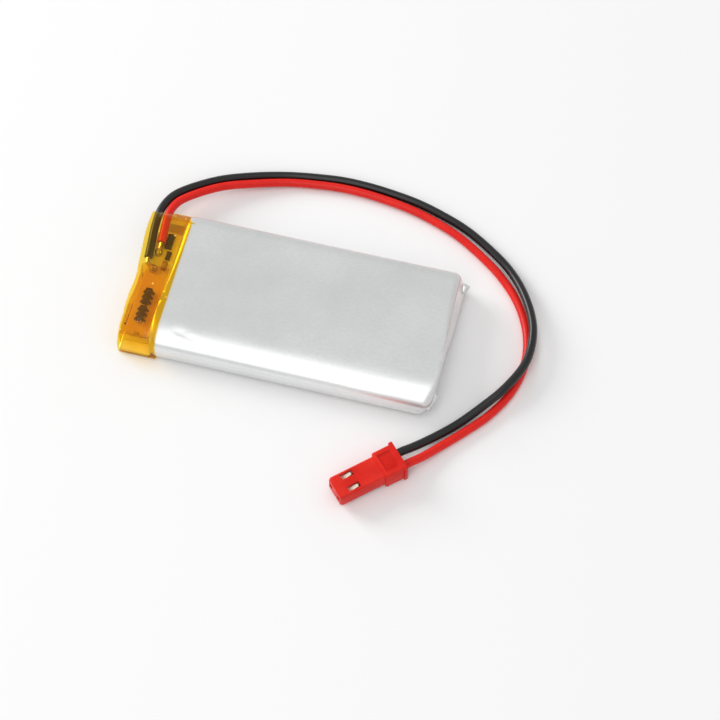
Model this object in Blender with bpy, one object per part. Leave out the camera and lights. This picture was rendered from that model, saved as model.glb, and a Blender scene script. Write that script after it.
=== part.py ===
"""Single-cell lithium polymer pack: pouch cell, protection board, polyimide wrap and plug lead.

The pack lies flat on z = 0 with its length along X, tabs and leads at -X and the folded end at +X.
The origin is at the bottom centre of the pack without its leads and plug.
"""

import math

import bmesh
import bpy
from mathutils import Matrix, Vector

MM = 0.001

# Overall pack
overall_length = 58.0 * MM
pack_width = 28.0 * MM
pack_thickness = 6.2 * MM
film_gap = 0.05 * MM            # clearance between stacked thin sheets
part_gap = 0.30 * MM            # clearance between rigid neighbours

# Pouch laminate
laminate = 0.12 * MM
seal_gap = 0.10 * MM            # gap between the two layers of a side seam
tab_seal_gap = 0.40 * MM        # gap between the two layers where the tabs leave
board_end_room = 1.33 * MM      # between the terrace's end and the end of the tape
terrace_length = 5.2 * MM
ear_reach = 1.3 * MM            # dog ears past the folded end
seam_flap_height = 2.5 * MM
crown_width = 4.6 * MM          # rounded shoulder, measured across the cell
shoulder_drop = 2.9 * MM        # rounded shoulder, measured down the side
end_round = 1.6 * MM
plan_corner = 2.6 * MM

# Polyimide tape
tape_film = 0.06 * MM
wrap_tape_width = 8.2 * MM
wrap_drift = 1.5 * MM           # sideways drift of the wrap over one turn
wrap_end_drop = 1.6 * MM        # the wrap closes down over the board, most at the near side
wrap_taper = 0.7                # share of the wrap's width that closes down
end_tape_overlap = 2.4 * MM

# Wound roll
anode_film = 0.13 * MM
cathode_film = 0.12 * MM
separator_film = 0.03 * MM
wind_gap = 0.04 * MM
roll_core_radius = 0.38 * MM
roll_end_space = 1.9 * MM
electrode_setback = 1.0 * MM
roll_tape_width = 14.0 * MM
roll_tape_lap = 4.0 * MM

# Tabs
tab_width = 4.0 * MM
tab_film = 0.10 * MM
tab_spacing = 13.0 * MM
sealant_thickness = 0.30 * MM
sealant_margin = 0.8 * MM
sealant_length = 3.8 * MM

# Protection board and what is on it
board_side_room = 3.4 * MM      # between each end of the board and the pack's side
board_width = 4.2 * MM
board_thickness = 0.8 * MM
paper_thickness = 0.15 * MM
strip_thickness = 0.15 * MM
strip_length = 3.2 * MM
strip_width = 3.2 * MM
strip_inset = 0.3 * MM          # strip from the board's outer edge
strip_corner = 0.4 * MM
solder_radius = 0.80 * MM
solder_height = 1.0 * MM
positive_pad_y = 6.1 * MM
negative_pad_y = 2.7 * MM
pad_inset = 1.25 * MM           # pads from the board's outer edge
ic_y = -3.3 * MM
mosfet_y = -6.9 * MM
resistor_inset = 1.9 * MM       # sense resistor from the board's end

# Leads
lead_diameter = 1.5 * MM
strand_diameter = 0.76 * MM
lead_bevel_resolution = 2
lead_step = 2.4                 # points along a lead, in lead diameters

# Plug
pin_pitch = 2.5 * MM
plug_length = 12.5 * MM
body_width = pin_pitch + 1.9 * MM
body_height = 3.1 * MM
collar_width = body_width + 0.8 * MM
collar_height = 3.9 * MM
collar_length = 3.4 * MM
flange_width = collar_width + 0.6 * MM
flange_height = 4.3 * MM
flange_thickness = 0.6 * MM
front_cavity_width = 1.3 * MM
front_cavity_height = 1.7 * MM
rear_cavity_side_room = 0.3 * MM
rear_cavity_height_room = 0.5 * MM
rear_cavity_depth = 3.6 * MM
front_wall = 0.8 * MM
pin_entry = 0.9 * MM
window_width = 1.0 * MM
window_length = 2.2 * MM
window_from_front = 1.9 * MM
contact_sheet = 0.18 * MM
crimp_wrap = 290                # degrees that a crimp barrel reaches round
plug_rear_offset = Vector((-3.8, -23.5)) * MM
plug_heading = math.radians(223.5)

# Places that follow from the values above
fold_radius = (laminate + seal_gap) / 2
cell_end = overall_length / 2 - ear_reach - fold_radius - laminate / 2
terrace_end = -overall_length / 2 + board_end_room
cell_start = terrace_end + terrace_length
cover_z = 2 * tape_film + 2 * film_gap + laminate / 2
seam_z = cover_z + 2 * fold_radius
terrace_z = cover_z + laminate + tab_seal_gap
wrap_offset = 2 * film_gap + 1.5 * tape_film
lap_offset = wrap_offset + tape_film + film_gap
cell_top = pack_thickness - lap_offset - tape_film / 2 - laminate / 2
flap_y = pack_width / 2 - lap_offset - tape_film / 2 - laminate / 2
tab_z = cover_z + (laminate + tab_seal_gap) / 2
paper_z = terrace_z + laminate / 2 + film_gap
tab_back_z = paper_z + paper_thickness + film_gap + tab_film / 2
strip_z = tab_back_z + tab_film / 2 + film_gap
board_z = strip_z + strip_thickness + film_gap
board_length = pack_width - 2 * board_side_room
board_top = board_z + board_thickness
board_right = cell_start - 0.7 * MM
board_left = board_right - board_width
component_z = board_top + film_gap
rear_cavity_width = lead_diameter + 2 * rear_cavity_side_room
rear_cavity_height = lead_diameter + 2 * rear_cavity_height_room
plug_z = flange_height / 2 + film_gap
plug_rear = Vector((overall_length / 2, 0.0)) + plug_rear_offset
lead_rest_z = lead_diameter / 2 + film_gap
lead_exit = Vector((-overall_length / 2, pack_width / 2, board_top))
folded_end = Vector((overall_length / 2, 0.0, 0.0))
wind_pitch = anode_film + cathode_film + 2 * separator_film + 4 * wind_gap


def clear_scene():
    for old in list(bpy.data.objects):
        bpy.data.objects.remove(old, do_unlink=True)


def finish(name, color, roughness, metallic=0.0, alpha=1.0):
    material = bpy.data.materials.new(name)
    material.use_nodes = True
    shader = material.node_tree.nodes["Principled BSDF"]
    shader.inputs["Base Color"].default_value = (*color, 1.0)
    shader.inputs["Roughness"].default_value = roughness
    shader.inputs["Metallic"].default_value = metallic
    shader.inputs["Alpha"].default_value = alpha
    return material


def add_object(name, mesh_builder, material, smooth_angle=None):
    """Turn a bmesh into a named object with one material."""
    mesh = bpy.data.meshes.new(name)
    mesh_builder.to_mesh(mesh)
    mesh_builder.free()
    mesh.materials.append(material)
    if smooth_angle is not None:
        mesh.shade_smooth()
        mesh.set_sharp_from_angle(angle=math.radians(smooth_angle))
    placed = bpy.data.objects.new(name, mesh)
    bpy.context.collection.objects.link(placed)
    return placed


def sheet(name, rows, thickness, material, even=True):
    """A formed sheet: a grid of mid-surface points given a real thickness."""
    builder = bmesh.new()
    grid = [[builder.verts.new(point) for point in row] for row in rows]
    for row, following in zip(grid, grid[1:]):
        for a, b, c, d in zip(row, row[1:], following[1:], following):
            builder.faces.new((a, b, c, d))
    formed = add_object(name, builder, material, smooth_angle=35)
    wall = formed.modifiers.new("thickness", "SOLIDIFY")
    wall.thickness = thickness
    wall.offset = 0.0
    wall.use_even_offset = even
    return formed


def ribbon(name, path, x_start, x_end, thickness, material):
    """A strip whose section is a path in YZ, run along X."""
    rows = [[(x, y, z) for y, z in path] for x in (x_start, x_end)]
    return sheet(name, rows, thickness, material)


def block(name, low, high, material):
    """A straight-sided piece between two corners."""
    builder = bmesh.new()
    size = Vector(high) - Vector(low)
    place = Matrix.Translation((Vector(high) + Vector(low)) / 2) @ Matrix.Diagonal((*size, 1.0))
    bmesh.ops.create_cube(builder, size=1.0, matrix=place)
    return add_object(name, builder, material, smooth_angle=35)


def combine(placed, tool, operation):
    """Cut or join with another object, which stays as a hidden guide."""
    tool.hide_render = True
    tool.display_type = "WIRE"
    step = placed.modifiers.new(operation.lower() + " " + tool.name, "BOOLEAN")
    step.operation = operation
    step.object = tool
    step.solver = "EXACT"


def arc(centre_y, centre_z, radius_y, radius_z, start, end, segments, power=2.0):
    """Points on a superellipse arc in YZ, angles in degrees, without the last one."""
    points = []
    for index in range(segments):
        angle = math.radians(start + (end - start) * index / segments)
        cosine = math.cos(angle)
        sine = math.sin(angle)
        y = math.copysign(abs(cosine) ** (2 / power), cosine)
        z = math.copysign(abs(sine) ** (2 / power), sine)
        points.append((centre_y + radius_y * y, centre_z + radius_z * z))
    return points


# --- Pouch: one sheet, drawn into a cup, folded at +X and sealed along three sides ---

def seam_flap(radius, centre_z):
    """Turned-up edge of the sheet, its bend concentric with the fold under the cup's wall."""
    centre_y = flap_y - 3 * fold_radius
    flap = arc(centre_y, centre_z, radius, radius, -90, 0, 3)
    side = centre_y + radius
    return flap + [(side, centre_z), (side, (centre_z + seam_flap_height) / 2), (side, seam_flap_height)]


def cup_section(height, shrink, seam):
    """Right half of the drawn cup in YZ: height is 0 on the seam plane and 1 on the full cup."""
    shoulder_z = cell_top - shoulder_drop
    tuck_y = flap_y - 4 * fold_radius
    wall = [(0.0, cell_top)]
    wall += arc(flap_y - crown_width, shoulder_z, crown_width, shoulder_drop, 90, 0, 6, 2.3)
    wall += [(flap_y, shoulder_z), (tuck_y, seam_flap_height + laminate)]
    wall += [(tuck_y, seam + fold_radius), (tuck_y + 0.3 * fold_radius, seam + 0.3 * fold_radius)]
    if height == 0.0:
        flat_end = tuck_y - plan_corner
        half = [(min(y - plan_corner, flat_end - index * laminate), seam)
                for index, (y, z) in enumerate(reversed(wall[1:]))]
        half = [(0.0, seam)] + list(reversed(half))
    else:
        half = [(y - shrink if y else 0.0, seam + max((z - seam) * height, min(z - seam, fold_radius)))
                for y, z in wall]
    return half + seam_flap(fold_radius, seam + fold_radius)


def mirrored(half):
    return [(-y, z) for y, z in reversed(half[1:])] + half


def end_wall():
    """Height, distance in from the end and narrowing of each station up the cup's end wall."""
    for degrees in (0, 35, 55, 72, 90):
        angle = math.radians(degrees)
        inward = end_round * (1 - math.cos(angle))
        yield math.sin(angle), inward, plan_corner * (1 - math.sin(angle) ** 0.7)


def pouch_rows():
    """Stations from the terrace over the cup, round the folded end and back along the cover."""
    def row(x, section):
        return [(x, y, z) for y, z in mirrored(section)]

    rows = [row(terrace_end, cup_section(0.0, 0.0, terrace_z))]
    rows += [row(cell_start + inward, cup_section(height, shrink, terrace_z))
             for height, inward, shrink in end_wall()]
    rows += [row(x, cup_section(1.0, 0.0, seam_z))
             for x in (cell_start + 3 * end_round, cell_end - 3 * end_round)]
    rows += reversed([row(cell_end - inward, cup_section(height, shrink, seam_z))
                      for height, inward, shrink in end_wall()])

    cup_edge = rows[-1]
    edge_section = cup_section(0.0, 0.0, seam_z)
    flap = seam_flap(3 * fold_radius, seam_z + fold_radius)
    flat_count = len(edge_section) - len(flap)
    cover_section = [(y, cover_z) for y, z in edge_section[:flat_count]] + flap
    ear_half = [0.0] * (flat_count + 1) + [0.03, 0.12, 0.35, 1.0, 0.6]
    ears = list(reversed(ear_half[1:])) + ear_half
    for turn in (45, 90, 135):
        angle = math.radians(turn)
        folded = []
        for (x, y, z), (cover_y, cover_point_z), ear in zip(cup_edge, mirrored(cover_section), ears):
            half_gap = math.hypot(y - cover_y, z - cover_point_z) / 2
            mid_y = (y + cover_y) / 2
            mid_z = (z + cover_point_z) / 2
            folded.append((x + (half_gap + ear * ear_reach) * math.sin(angle),
                           mid_y + (y - mid_y) * math.cos(angle),
                           mid_z + (z - mid_z) * math.cos(angle)))
        rows.append(folded)
    for x in (cell_end, cell_end - 3 * end_round, cell_start + 3 * end_round, terrace_end):
        rows.append(row(x, cover_section))
    return rows


def make_pouch(material):
    return sheet("pouch", pouch_rows(), laminate, material, even=False)


# --- Wound roll: separator, anode, separator, cathode on one flattened spiral ---

roll_x_start = cell_start + roll_end_space
roll_x_end = cell_end - end_round
roll_space = (cell_top - cover_z - laminate) / 2 - tape_film - 2 * film_gap
spare_half_turns = int((roll_space - roll_core_radius) / (wind_pitch / 2)) - 2
wind_turns = (spare_half_turns - (spare_half_turns + 1) % 2) / 2
roll_outer_radius = roll_core_radius + (wind_turns + 1) * wind_pitch
roll_z = (cell_top + cover_z) / 2
roll_straight = flap_y - 4 * fold_radius - laminate - part_gap - roll_outer_radius


def winding_path(offset, turns, arc_segments=6):
    """Flattened spiral in YZ whose straight runs stay level."""
    radius = roll_core_radius + offset
    path = [(-roll_straight, roll_z - radius)]
    for half_turn in range(int(2 * turns)):
        side = 1 if half_turn % 2 == 0 else -1
        mid_radius = radius + wind_pitch / 4
        centre_z = roll_z + side * wind_pitch / 4
        for step in range(arc_segments + 1):
            angle = math.radians(-90 + 180 * step / arc_segments)
            y = side * (roll_straight + mid_radius * math.cos(angle))
            path.append((y, centre_z + side * mid_radius * math.sin(angle)))
        radius += wind_pitch / 2
    path.append((0.0, path[-1][1]))
    return path


def make_roll(anode_material, cathode_material, separator_material, tape_material):
    layers = (
        ("separator_inner", separator_film, 0.0, separator_material),
        ("anode_strip", anode_film, electrode_setback, anode_material),
        ("separator_outer", separator_film, 0.0, separator_material),
        ("cathode_strip", cathode_film, 1.5 * electrode_setback, cathode_material),
    )
    offset = 0.0
    for name, film, setback, material in layers:
        offset += film / 2
        path = winding_path(offset, wind_turns)
        ribbon(name, path, roll_x_start + setback, roll_x_end - setback, film, material)
        offset += film / 2 + wind_gap

    outside = winding_path(offset - wind_gap + film_gap + tape_film / 2, wind_turns)
    last_turn = outside[-8:-1]
    tape_path = [(0.0, last_turn[0][1])] + last_turn + [(-roll_tape_lap, last_turn[-1][1])]
    middle = (roll_x_start + roll_x_end) / 2
    ribbon("roll_tape", tape_path, middle - roll_tape_width / 2, middle + roll_tape_width / 2,
           tape_film, tape_material)


# --- Tabs, sealant films and the strips that join them to the board ---

def tab_profile():
    """Side view in XZ: from the roll, down to the seal, out and folded back under the board."""
    drop_x = cell_start + laminate + part_gap
    fold = (tab_back_z - tab_z) / 2
    outer_x = terrace_end - film_gap - fold / 2
    start_x = roll_x_start - part_gap
    curve_radius = (start_x - drop_x) / 2
    profile = [(start_x, roll_z)]
    for step in range(4):
        angle = math.radians(90 + 30 * step)
        profile.append((start_x - curve_radius / 2 + curve_radius * math.cos(angle),
                        roll_z - curve_radius + curve_radius * math.sin(angle)))
    bend_x = profile[-1][0]
    for step in range(4):
        angle = math.radians(-30 * step)
        profile.append((bend_x - curve_radius + curve_radius * math.cos(angle),
                        tab_z + curve_radius + curve_radius * math.sin(angle)))
    for step in range(7):
        angle = math.radians(-90 - 30 * step)
        profile.append((outer_x + fold * math.cos(angle), tab_z + fold + fold * math.sin(angle)))
    profile.append((board_left + strip_length, tab_back_z))
    return profile


def make_tab(name, centre_y, material):
    rows = [[(x, centre_y + side * tab_width / 2, z) for x, z in tab_profile()] for side in (-1, 1)]
    return sheet(name, rows, tab_film, material)


def make_sealant(name, centre_y, material):
    """Sealant film fused round the tab: a flat sleeve with the tab's slot through it."""
    centre_x = (cell_start + terrace_end) / 2
    half = Vector((sealant_length / 2, tab_width / 2 + sealant_margin, sealant_thickness / 2))
    centre = Vector((centre_x, centre_y, tab_z))
    sleeve = block(name, centre - half, centre + half, material)
    slot_half = Vector((sealant_length, tab_width / 2 + film_gap, tab_film / 2 + film_gap))
    slot = block(name + " slot", centre - slot_half, centre + slot_half, material)
    combine(sleeve, slot, "DIFFERENCE")
    return sleeve


def make_strip(name, centre_y, material):
    """Nickel strip under the board, welded to the folded tab, its corners rounded."""
    centre_x = board_left + strip_inset + strip_length / 2
    outline = rounded_rectangle(centre_x, centre_y, strip_length, strip_width, strip_corner)
    extruded_outline(name, outline, strip_z, strip_z + strip_thickness, material)


def extruded_outline(name, outline, low_z, high_z, material):
    """A flat plate: an outline in XY taken straight up."""
    builder = bmesh.new()
    floor = builder.faces.new([builder.verts.new((x, y, low_z)) for x, y in outline])
    raised = bmesh.ops.extrude_face_region(builder, geom=[floor])
    top = [item for item in raised["geom"] if isinstance(item, bmesh.types.BMVert)]
    bmesh.ops.translate(builder, verts=top, vec=(0, 0, high_z - low_z))
    bmesh.ops.recalc_face_normals(builder, faces=builder.faces)
    return add_object(name, builder, material, smooth_angle=35)


def rounded_rectangle(centre_x, centre_y, size_x, size_y, radius, segments=4):
    points = []
    corners = ((1, 1, 0), (-1, 1, 90), (-1, -1, 180), (1, -1, 270))
    for side_x, side_y, start in corners:
        for step in range(segments + 1):
            angle = math.radians(start + 90 * step / segments)
            points.append((centre_x + side_x * (size_x / 2 - radius) + radius * math.cos(angle),
                           centre_y + side_y * (size_y / 2 - radius) + radius * math.sin(angle)))
    return points


def make_paper(material):
    length = terrace_length - 0.5 * MM
    outline = rounded_rectangle((cell_start + terrace_end) / 2 - 0.1 * MM, 0.0, length,
                                board_length + 2.0 * MM, 0.6 * MM)
    return extruded_outline("insulating_paper", outline, paper_z, paper_z + paper_thickness, material)


def make_board(material):
    """Glass-fibre board with a semicircular breakout notch at each end."""
    centre_x = (board_left + board_right) / 2
    outline = rounded_rectangle(centre_x, 0.0, board_width, board_length, 0.3 * MM)
    board = extruded_outline("protection_board", outline, board_z, board_top, material)
    for side in (-1, 1):
        builder = bmesh.new()
        place = Matrix.Translation((centre_x, side * board_length / 2, board_z))
        bmesh.ops.create_cone(builder, cap_ends=True, segments=16, radius1=0.5 * MM, radius2=0.5 * MM,
                              depth=4 * board_thickness, matrix=place)
        notch = add_object("breakout notch %+d" % side, builder, material)
        combine(board, notch, "DIFFERENCE")
    return board


# --- Components on the board ---

def make_package(name, centre, body, leg_count, pitch, span, leg_width, material):
    """Moulded package with gull-wing legs: body is its size along the legs, across them, and up."""
    leg_film = 0.15 * MM
    along, across, height = body
    standoff = 0.08 * MM
    builder = bmesh.new()
    levels = ((0.0, 0.94), (0.45, 1.0), (1.0, 0.90))
    loops = []
    for level, scale in levels:
        z = standoff + height * level
        loop = [builder.verts.new((sx * along / 2 * scale, sy * across / 2 * scale, z))
                for sx, sy in ((-1, -1), (1, -1), (1, 1), (-1, 1))]
        loops.append(loop)
    for low, high in zip(loops, loops[1:]):
        for index in range(4):
            following = (index + 1) % 4
            builder.faces.new((low[index], low[following], high[following], high[index]))
    builder.faces.new(list(reversed(loops[0])))
    builder.faces.new(loops[-1])
    place = Matrix.Translation(centre)
    bmesh.ops.transform(builder, matrix=place, verts=builder.verts)
    package = add_object(name, builder, material, smooth_angle=35)

    knee = along / 2 + (span - along) * 0.18
    foot = along / 2 + (span - along) * 0.30
    leg_z = standoff + height * 0.45
    side_view = [(along / 2 - 0.2 * MM, leg_z), (knee, leg_z), (foot, leg_film / 2),
                 (span / 2, leg_film / 2)]
    for side in (-1, 1):
        for index in range(leg_count):
            y = (index - (leg_count - 1) / 2) * pitch
            rows = [[place @ Vector((side * x, y + edge * leg_width / 2, z)) for x, z in side_view]
                    for edge in (-side, side)]
            leg = sheet("%s leg %+d %d" % (name, side, index), rows, leg_film, material)
            combine(package, leg, "UNION")
    return package


def make_chip(name, centre, size, cap_length, material):
    """Ceramic chip with proud metal end caps, its length along Y."""
    width, length, height = size
    proud = 0.04 * MM
    stations = ((-0.5, proud), (-0.5 + cap_length / length, proud), (-0.5 + cap_length / length, 0.0),
                (0.5 - cap_length / length, 0.0), (0.5 - cap_length / length, proud), (0.5, proud))
    builder = bmesh.new()
    loops = []
    for share, grow in stations:
        y = share * length
        half = width / 2 + grow
        low = proud - grow
        high = height + grow
        corners = ((-half, low), (half, low), (half, high), (-half, high))
        loops.append([builder.verts.new(Vector(centre) + Vector((x, y, z))) for x, z in corners])
    for near, far in zip(loops, loops[1:]):
        for index in range(4):
            following = (index + 1) % 4
            builder.faces.new((near[following], near[index], far[index], far[following]))
    builder.faces.new(loops[0])
    builder.faces.new(list(reversed(loops[-1])))
    bmesh.ops.recalc_face_normals(builder, faces=builder.faces)
    return add_object(name, builder, material, smooth_angle=35)


def make_components(epoxy, ceramic, capacitor_ceramic):
    middle_x = (board_left + board_right) / 2 - 0.1 * MM
    for name, y, height in (("protection_ic", ic_y, 1.0 * MM), ("mosfet_pair", mosfet_y, 0.9 * MM)):
        make_package(name, (middle_x, y, component_z), (1.6 * MM, 2.9 * MM, height), 3, 0.95 * MM,
                     2.8 * MM, 0.36 * MM, epoxy)
    edge_x = board_right - 1.1 * MM
    resistor_y = board_length / 2 - resistor_inset
    make_chip("sense_resistor", (edge_x, resistor_y, component_z), (1.6 * MM, 3.1 * MM, 0.55 * MM),
              0.5 * MM, ceramic)
    make_chip("filter_capacitor", (edge_x, 3.6 * MM, component_z), (0.8 * MM, 1.6 * MM, 0.75 * MM),
              0.35 * MM, capacitor_ceramic)
    make_chip("filter_resistor", (edge_x + 0.1 * MM, 5.8 * MM, component_z), (0.8 * MM, 1.6 * MM, 0.4 * MM),
              0.3 * MM, ceramic)


# --- Leads ---

# Out of the tape: millimetres from the tape's far corner and up from the board
black_exit = ((1.65, -9.7, 0.99), (1.4, -7.0, 1.14), (1.0, -3.0, 1.29), (1.05, 0.2, 1.34),
              (1.9, 3.0, 1.24), (3.3, 5.1, 0.94))
red_exit = ((3.0, -6.1, 0.94), (2.75, -3.0, 1.19), (2.7, 0.2, 1.34), (3.5, 2.1, 1.24), (4.7, 3.8, 0.94))
# Over the floor: millimetres from the middle of the folded end, and lead diameters off the floor
black_sweep = ((-49.1, 23.7, 1.00), (-43.0, 26.7, 0.47), (-37.4, 28.6, 0.10), (-32.1, 29.6, 0.00),
               (-27.2, 30.1, 0.00), (-22.4, 30.0, 0.00), (-17.8, 29.5, 0.00), (-13.2, 28.7, 0.00),
               (-8.5, 27.3, 0.00), (-3.7, 25.4, 0.00), (1.1, 22.5, 0.07), (5.9, 18.6, 0.33),
               (9.9, 13.3, 0.87), (12.6, 7.1, 1.13), (12.9, 0.5, 1.20), (10.6, -5.3, 1.07),
               (7.2, -9.9, 0.47), (4.0, -13.7, 0.07), (0.8, -17.1, 0.13), (-2.2, -20.2, 0.57))
red_sweep = ((-48.0, 21.9, 1.00), (-42.2, 24.8, 0.47), (-36.6, 26.9, 0.10), (-31.6, 27.9, 0.00),
             (-27.0, 28.3, 0.00), (-22.5, 28.2, 0.00), (-18.0, 27.6, 0.00), (-13.8, 26.8, 0.00),
             (-9.4, 25.4, 0.00), (-4.9, 23.5, 0.00), (-0.2, 20.9, 0.00), (4.4, 17.4, 0.00),
             (8.6, 12.8, 0.00), (11.5, 7.2, 0.00), (12.6, 1.1, 0.00), (11.6, -5.0, 0.00),
             (8.9, -10.5, 0.00), (5.5, -14.8, 0.00), (2.2, -18.6, 0.10), (-0.5, -21.9, 0.57))


def lead_route(from_corner, sweep):
    route = [lead_exit + Vector(point) * MM for point in from_corner]
    for x, y, lift in sweep:
        height = Vector((0, 0, lead_rest_z + lift * lead_diameter))
        route.append(folded_end + Vector((x, y, 0)) * MM + height)
    return route


def smooth_points(route, spacing):
    """Evenly spaced points on the centripetal Catmull-Rom curve through the route."""
    guide = [route[0] * 2 - route[1]] + list(route) + [route[-1] * 2 - route[-2]]
    fine = []
    for before, start, end, after in zip(guide, guide[1:], guide[2:], guide[3:]):
        knots = [0.0]
        for a, b in ((before, start), (start, end), (end, after)):
            knots.append(knots[-1] + math.sqrt((b - a).length))
        for step in range(24):
            t = knots[1] + (knots[2] - knots[1]) * step / 24
            a1 = before.lerp(start, (t - knots[0]) / (knots[1] - knots[0]))
            a2 = start.lerp(end, (t - knots[1]) / (knots[2] - knots[1]))
            a3 = end.lerp(after, (t - knots[2]) / (knots[3] - knots[2]))
            b1 = a1.lerp(a2, (t - knots[0]) / (knots[2] - knots[0]))
            b2 = a2.lerp(a3, (t - knots[1]) / (knots[3] - knots[1]))
            fine.append(b1.lerp(b2, (t - knots[1]) / (knots[2] - knots[1])))
    fine.append(route[-1].copy())
    distances = [0.0]
    for a, b in zip(fine, fine[1:]):
        distances.append(distances[-1] + (b - a).length)
    count = max(2, round(distances[-1] / spacing))
    evened = []
    index = 0
    for step in range(count + 1):
        target = distances[-1] * step / count
        while index < len(fine) - 2 and distances[index + 1] < target:
            index += 1
        share = (target - distances[index]) / (distances[index + 1] - distances[index])
        evened.append(fine[index].lerp(fine[index + 1], share))
    return evened


def make_tube(name, points, diameter, material):
    curve = bpy.data.curves.new(name, "CURVE")
    curve.dimensions = "3D"
    curve.bevel_depth = diameter / 2
    curve.bevel_resolution = lead_bevel_resolution
    curve.use_fill_caps = True
    run = curve.splines.new("POLY")
    run.points.add(len(points) - 1)
    for slot, point in zip(run.points, points):
        slot.co = (*point, 1.0)
    curve.materials.append(material)
    tube = bpy.data.objects.new(name, curve)
    bpy.context.collection.objects.link(tube)
    return tube


def meshed(tube):
    """Replace a tube's curve object with the same shape as a mesh object."""
    bpy.context.view_layer.update()
    shape = tube.evaluated_get(bpy.context.evaluated_depsgraph_get())
    mesh = bpy.data.meshes.new_from_object(shape)
    welding = bmesh.new()
    welding.from_mesh(mesh)
    bmesh.ops.remove_doubles(welding, verts=welding.verts, dist=0.001 * MM)
    welding.to_mesh(mesh)
    welding.free()
    solid = bpy.data.objects.new(tube.name + " clearance", mesh)
    bpy.context.collection.objects.link(solid)
    bpy.data.objects.remove(tube, do_unlink=True)
    return solid


def plug_point(forward, sideways, up):
    """A point in the plug's own directions: forward from its rear face, towards the mating end."""
    ahead = Vector((math.cos(plug_heading), math.sin(plug_heading), 0.0))
    left = Vector((-ahead.y, ahead.x, 0.0))
    return Vector((*plug_rear, plug_z)) + ahead * forward + left * sideways + Vector((0, 0, up))


insulation_depth = 1.2 * MM
bare_length = 1.75 * MM
strand_gap = 0.1 * MM
negative_side = -pin_pitch / 2
positive_side = pin_pitch / 2


def make_lead(name, route, side, pad, material, copper, solder):
    """One lead with the stripped ends that reach its contact and its pad."""
    entered = route + [plug_point(-1.2 * MM, side, 0.0), plug_point(0.0, side, 0.0)]
    entered += [plug_point(insulation_depth, side, 0.0)]
    path = smooth_points(entered, lead_step * lead_diameter)
    make_tube(name + "_lead", path, lead_diameter, material)
    strand_start = plug_point(insulation_depth + strand_gap, side, 0.0)
    strand_end = plug_point(insulation_depth + bare_length - strand_gap, side, 0.0)
    make_tube(name + "_plug_strands", [strand_start, strand_end], strand_diameter, copper)

    back = (path[0] - path[1]).normalized()
    bare_start = path[0] + back * strand_gap
    bare_end = Vector((pad[0], pad[1], component_z + strand_diameter / 2 + 0.1 * MM))
    bare_middle = bare_start + back * (bare_start - bare_end).length * 0.45
    bare_points = smooth_points([bare_start, bare_middle, bare_end], 0.5 * MM)
    make_tube(name + "_board_strands", bare_points, strand_diameter, copper)
    solder_name = "negative_solder" if name == "black" else "positive_solder"
    builder = bmesh.new()
    place = Matrix.Translation((pad[0], pad[1], component_z))
    scale = Matrix.Diagonal((solder_radius, solder_radius, solder_height, 1.0))
    bmesh.ops.create_uvsphere(builder, u_segments=20, v_segments=12, radius=1.0, matrix=place @ scale)
    bmesh.ops.bisect_plane(builder, geom=builder.verts[:] + builder.edges[:] + builder.faces[:],
                           plane_co=(0, 0, component_z + 0.001 * MM), plane_no=(0, 0, -1), clear_outer=True)
    rim = [edge for edge in builder.edges if edge.is_boundary]
    bmesh.ops.contextual_create(builder, geom=rim)
    bmesh.ops.recalc_face_normals(builder, faces=builder.faces)
    blob = add_object(solder_name, builder, solder, smooth_angle=35)
    past_end = bare_points[-1] + (bare_points[-1] - bare_points[-2]).normalized() * film_gap
    clearance = meshed(make_tube(name + " strand path", bare_points + [past_end],
                                 strand_diameter + 4 * film_gap, solder))
    combine(blob, clearance, "DIFFERENCE")
    return path


# --- Plug ---

def plug_matrix():
    return Matrix.Translation(plug_point(0, 0, 0)) @ Matrix.Rotation(plug_heading, 4, "Z")


def stepped_housing(name, material):
    """Flange, collar and nose in one moulding, lofted through square sections along X."""
    flange_end = flange_thickness
    collar_end = flange_thickness + collar_length
    nose_lead = 0.35 * MM
    stations = (
        (0.0, flange_width, flange_height),
        (flange_end, flange_width, flange_height),
        (flange_end, collar_width, collar_height),
        (collar_end - 0.15 * MM, collar_width, collar_height),
        (collar_end, collar_width - 0.2 * MM, collar_height - 0.2 * MM),
        (collar_end, body_width, body_height),
        (plug_length - nose_lead, body_width, body_height),
        (plug_length, body_width - 0.4 * MM, body_height - 0.4 * MM),
    )
    corner = 0.28 * MM
    builder = bmesh.new()
    loops = []
    for x, width, height in stations:
        section = rounded_rectangle(0.0, 0.0, width, height, corner, 3)
        loops.append([builder.verts.new((x, y, z)) for y, z in section])
    for near, far in zip(loops, loops[1:]):
        bmesh.ops.bridge_loops(builder, edges=loop_edges(builder, near) + loop_edges(builder, far))
    builder.faces.new(loops[0])
    builder.faces.new(loops[-1])
    bmesh.ops.recalc_face_normals(builder, faces=builder.faces)
    return add_object(name, builder, material, smooth_angle=35)


def loop_edges(builder, loop):
    edges = []
    for a, b in zip(loop, loop[1:] + loop[:1]):
        edges.append(builder.edges.get((a, b)) or builder.edges.new((a, b)))
    return edges


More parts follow.
